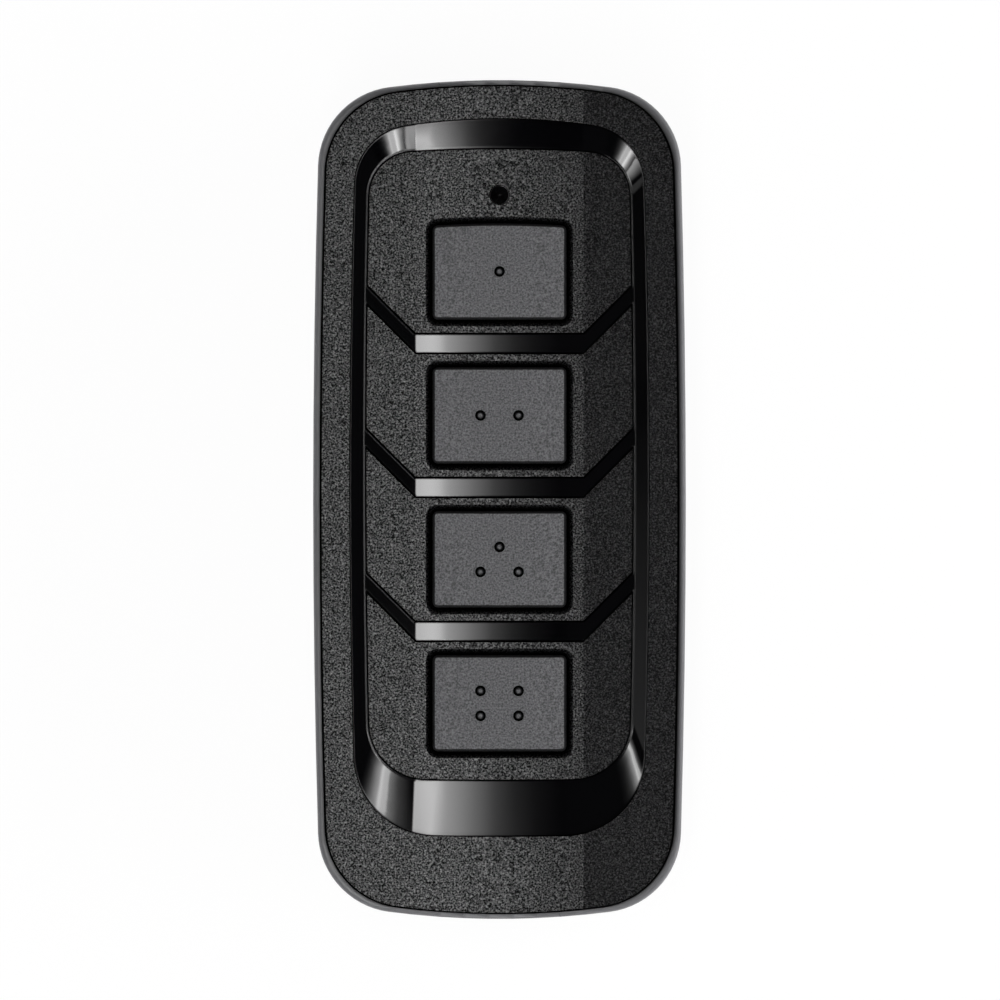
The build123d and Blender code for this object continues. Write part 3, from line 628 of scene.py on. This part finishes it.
class FOB_OT_battery(bpy.types.Operator):
    """Finish the coin cell, its clip and its contact."""

    bl_idname = "fob.battery"
    bl_label = "Coin cell and contacts"

    def execute(self, context):
        dress(nickel_plated_can(), ["coin_cell"])
        dress(rolled_sheet_steel(), ["battery_clip", "battery_contact"])
        return {"FINISHED"}


class FOB_OT_screws(bpy.types.Operator):
    """Finish the case screws and the board screws."""

    bl_idname = "fob.screws"
    bl_label = "Screws"

    def execute(self, context):
        dress(black_zinc_steel(), ["case_screws", "board_screws"])
        return {"FINISHED"}


def along_strip(tree, y, ends):
    """A number that goes from one value to another between two places along the strip."""
    (near, low), (far, high) = ends
    return add_node(
        tree,
        "ShaderNodeMapRange",
        {"Value": y, "From Min": near * MM, "From Max": far * MM, "To Min": low, "To Max": high},
    ).outputs["Result"]


def strip_profile(tree, strength, shares, taper=LEVEL, skew=STRAIGHT, rise=LEVEL):
    """Emission that follows a row of shares across the fob, narrowed, shifted and strengthened along it."""
    place = add_node(tree, "ShaderNodeNewGeometry")
    axes = add_node(tree, "ShaderNodeSeparateXYZ", {"Vector": place.outputs["Position"]})
    shift = add_node(
        tree, "ShaderNodeMath", {0: along_strip(tree, axes.outputs["Y"], skew), 1: MM}, operation="MULTIPLY"
    )
    narrowing = along_strip(tree, axes.outputs["Y"], taper)
    shifted = add_node(
        tree, "ShaderNodeMath", {0: axes.outputs["X"], 1: narrowing, 2: shift.outputs["Value"]},
        operation="MULTIPLY_ADD",
    )
    left, right = shares[0][0], shares[-1][0]
    across = add_node(
        tree,
        "ShaderNodeMapRange",
        {"Value": shifted.outputs["Value"], "From Min": left * MM, "From Max": right * MM},
    )
    ramp = add_node(tree, "ShaderNodeValToRGB", {"Fac": across.outputs["Result"]})
    stops = ramp.color_ramp.elements
    while len(stops) > 1:
        stops.remove(stops[0])
    for index, (x, share) in enumerate(shares):
        position = (x - left) / (right - left)
        stop = stops[0] if index == 0 else stops.new(position)
        stop.position = position
        stop.color = (share, share, share, 1)
    risen = add_node(
        tree, "ShaderNodeMath", {0: ramp.outputs["Color"], 1: along_strip(tree, axes.outputs["Y"], rise)},
        operation="MULTIPLY",
    )
    return add_node(
        tree, "ShaderNodeMath", {0: risen.outputs["Value"], 1: strength}, operation="MULTIPLY"
    ).outputs["Value"]


def flat_sheet(name, width, height, level=0.0):
    """A rectangle's mesh round its own middle."""
    x, y = width / 2, height / 2
    corners = [(-x, -y, level), (x, -y, level), (x, y, level), (-x, y, level)]
    data = bpy.data.meshes.new(name)
    data.from_pydata(corners, [], [(0, 1, 2, 3)])
    return data


def empty_material(name):
    """A material whose nodes are still to come."""
    material = bpy.data.materials.new(name)
    material.use_nodes = True
    material.node_tree.nodes.clear()
    return material, material.node_tree


def softbox(name, centre, size, strength, flat=False, **profile):
    """A lamp sheet that faces the fob or lies flat over it, hidden from the camera."""
    data = flat_sheet(name, *size)
    material, tree = empty_material(name)
    facing = add_node(tree, "ShaderNodeNewGeometry")
    power = strip_profile(tree, strength, **profile) if profile else strength
    glow = add_node(tree, "ShaderNodeEmission", {"Strength": power})
    dark = add_node(tree, "ShaderNodeBsdfTransparent")
    sides = add_node(
        tree,
        "ShaderNodeMixShader",
        {0: facing.outputs["Backfacing"], 1: glow.outputs["Emission"], 2: dark.outputs["BSDF"]},
    )
    add_node(tree, "ShaderNodeOutputMaterial", {"Surface": sides.outputs["Shader"]})
    data.materials.append(material)
    box = bpy.data.objects.new(name, data)
    bpy.context.scene.collection.objects.link(box)
    box.location = centre
    box.rotation_mode = "QUATERNION"
    towards = Vector((0, 0, -1)) if flat else -Vector(centre)
    box.rotation_quaternion = towards.to_track_quat("Z", "Y")
    box.visible_camera = False
    return box


class FOB_OT_stage(bpy.types.Operator):
    """Lay the paper floor, hang the lamps and set up the camera over the fob."""

    bl_idname = "fob.stage"
    bl_label = "Studio stage"

    def execute(self, context):
        stage = context.scene.fob_stage
        self.lay_floor(stage)
        self.hang_lamps(stage)
        self.light_room(context.scene, stage)
        self.place_camera(context.scene)
        context.scene.view_settings.view_transform = "Standard"
        return {"FINISHED"}

    def lay_floor(self, stage):
        """White paper just under the fob that keeps its shadow and can be looked through from below."""
        data = flat_sheet("paper_floor", stage.floor_size, stage.floor_size, level=-stage.floor_gap)
        material, tree = empty_material("white_paper")
        ray = add_node(tree, "ShaderNodeLightPath")
        seen = ray.outputs["Is Camera Ray"]
        for kind in ("Is Glossy Ray", "Is Transmission Ray"):
            seen = add_node(
                tree, "ShaderNodeMath", {0: seen, 1: ray.outputs[kind]}, operation="ADD", use_clamp=True
            ).outputs["Value"]
        share = add_node(tree, "ShaderNodeMath", {0: seen, 1: FLOOR_GLOW}, operation="MULTIPLY")
        paper = add_node(tree, "ShaderNodeBsdfDiffuse", {"Color": (*stage.paper_colour, 1)})
        white = add_node(tree, "ShaderNodeEmission", {"Color": (1, 1, 1, 1), "Strength": 1.0})
        mix = add_node(
            tree,
            "ShaderNodeMixShader",
            {0: share.outputs["Value"], 1: paper.outputs["BSDF"], 2: white.outputs["Emission"]},
        )
        side = add_node(tree, "ShaderNodeNewGeometry")
        below = add_node(tree, "ShaderNodeBsdfTransparent")
        sheet = add_node(
            tree,
            "ShaderNodeMixShader",
            {0: side.outputs["Backfacing"], 1: mix.outputs["Shader"], 2: below.outputs["BSDF"]},
        )
        add_node(tree, "ShaderNodeOutputMaterial", {"Surface": sheet.outputs["Shader"]})
        data.materials.append(material)
        floor = bpy.data.objects.new("paper_floor", data)
        bpy.context.scene.collection.objects.link(floor)

    def hang_lamps(self, stage):
        """One long strip overhead to the left with its dim cards, and low boxes round the fob."""
        for name, shares, span, share, sweep in OVERHEAD_SHEETS:
            left, right = shares[0][0] * MM, shares[-1][0] * MM
            low, high = span[0] * MM, span[1] * MM
            softbox(
                name,
                ((left + right) / 2, (low + high) / 2, stage.strip_height),
                (right - left, high - low),
                stage.strip_strength * share,
                flat=True,
                shares=shares,
                **sweep,
            )
        # No reflection shows the low boxes
        for boxes, strength in ((SIDE_BOXES, stage.side_strength), (END_BOXES, stage.end_strength)):
            for name, centre, size, share in boxes:
                softbox(name, centre, size, strength * share).visible_glossy = False
        name, centre, size, share = UNDER_BOX
        softbox(name, centre, size, stage.side_strength * share)

    def light_room(self, scene, stage):
        """A dim room that looks white to the camera, past the floor's edge."""
        world = bpy.data.worlds.new("studio_room")
        world.use_nodes = True
        tree = world.node_tree
        tree.nodes.clear()
        ray = add_node(tree, "ShaderNodeLightPath")
        strength = add_node(
            tree,
            "ShaderNodeMapRange",
            {"Value": ray.outputs["Is Camera Ray"], "To Min": stage.world_strength, "To Max": 1.0},
        )
        room = add_node(
            tree, "ShaderNodeBackground", {"Color": (1, 1, 1, 1), "Strength": strength.outputs["Result"]}
        )
        add_node(tree, "ShaderNodeOutputWorld", {"Surface": room.outputs["Background"]})
        scene.world = world

    def place_camera(self, scene):
        """Straight above the fob, far off with a long lens, as the photograph is taken."""
        data = bpy.data.cameras.new("photo_camera")
        data.sensor_width = CAMERA_SENSOR
        data.lens = CAMERA_SENSOR * CAMERA_DISTANCE / FRAME_WIDTH
        data.dof.use_dof = False
        camera = bpy.data.objects.new("photo_camera", data)
        scene.collection.objects.link(camera)
        # The frame's width holds halfway between the tops of the two covers
        frame_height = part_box("rear_cover")[1].z / 2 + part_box("front_cover")[1].z / 2
        camera.location = (*FRAME_SHIFT, frame_height + CAMERA_DISTANCE)
        scene.camera = camera


PIECES = (
    FOB_OT_covers,
    FOB_OT_trim,
    FOB_OT_rear,
    FOB_OT_keys,
    FOB_OT_indicator,
    FOB_OT_board,
    FOB_OT_switches,
    FOB_OT_battery,
    FOB_OT_screws,
    FOB_OT_stage,
)


class FOB_PT_sidebar(bpy.types.Panel):
    """The fob's finishes and stage in the 3D view's sidebar."""

    bl_idname = "FOB_PT_sidebar"
    bl_label = "Alarm key fob"
    bl_space_type = "VIEW_3D"
    bl_region_type = "UI"
    bl_category = "Key fob"

    def draw(self, context):
        column = self.layout.column()
        for piece in PIECES:
            column.operator(piece.bl_idname)
        for group in (context.scene.fob_finish, context.scene.fob_stage):
            for name in group.__annotations__:
                column.prop(group, name)


CLASSES = (FobFinish, FobStage, *PIECES, FOB_PT_sidebar)


def register():
    """Adds the classes and the two groups of settings to Blender."""
    for item in CLASSES:
        bpy.utils.register_class(item)
    bpy.types.Scene.fob_finish = bpy.props.PointerProperty(type=FobFinish)
    bpy.types.Scene.fob_stage = bpy.props.PointerProperty(type=FobStage)


def unregister():
    """Takes them out again."""
    del bpy.types.Scene.fob_stage
    del bpy.types.Scene.fob_finish
    for item in reversed(CLASSES):
        bpy.utils.unregister_class(item)


def main():
    """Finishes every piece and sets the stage."""
    register()
    bpy.ops.fob.covers()
    bpy.ops.fob.trim()
    bpy.ops.fob.rear()
    bpy.ops.fob.keys()
    bpy.ops.fob.indicator()
    bpy.ops.fob.board()
    bpy.ops.fob.switches()
    bpy.ops.fob.battery()
    bpy.ops.fob.screws()
    bpy.ops.fob.stage()


if __name__ == "__main__":
    main()
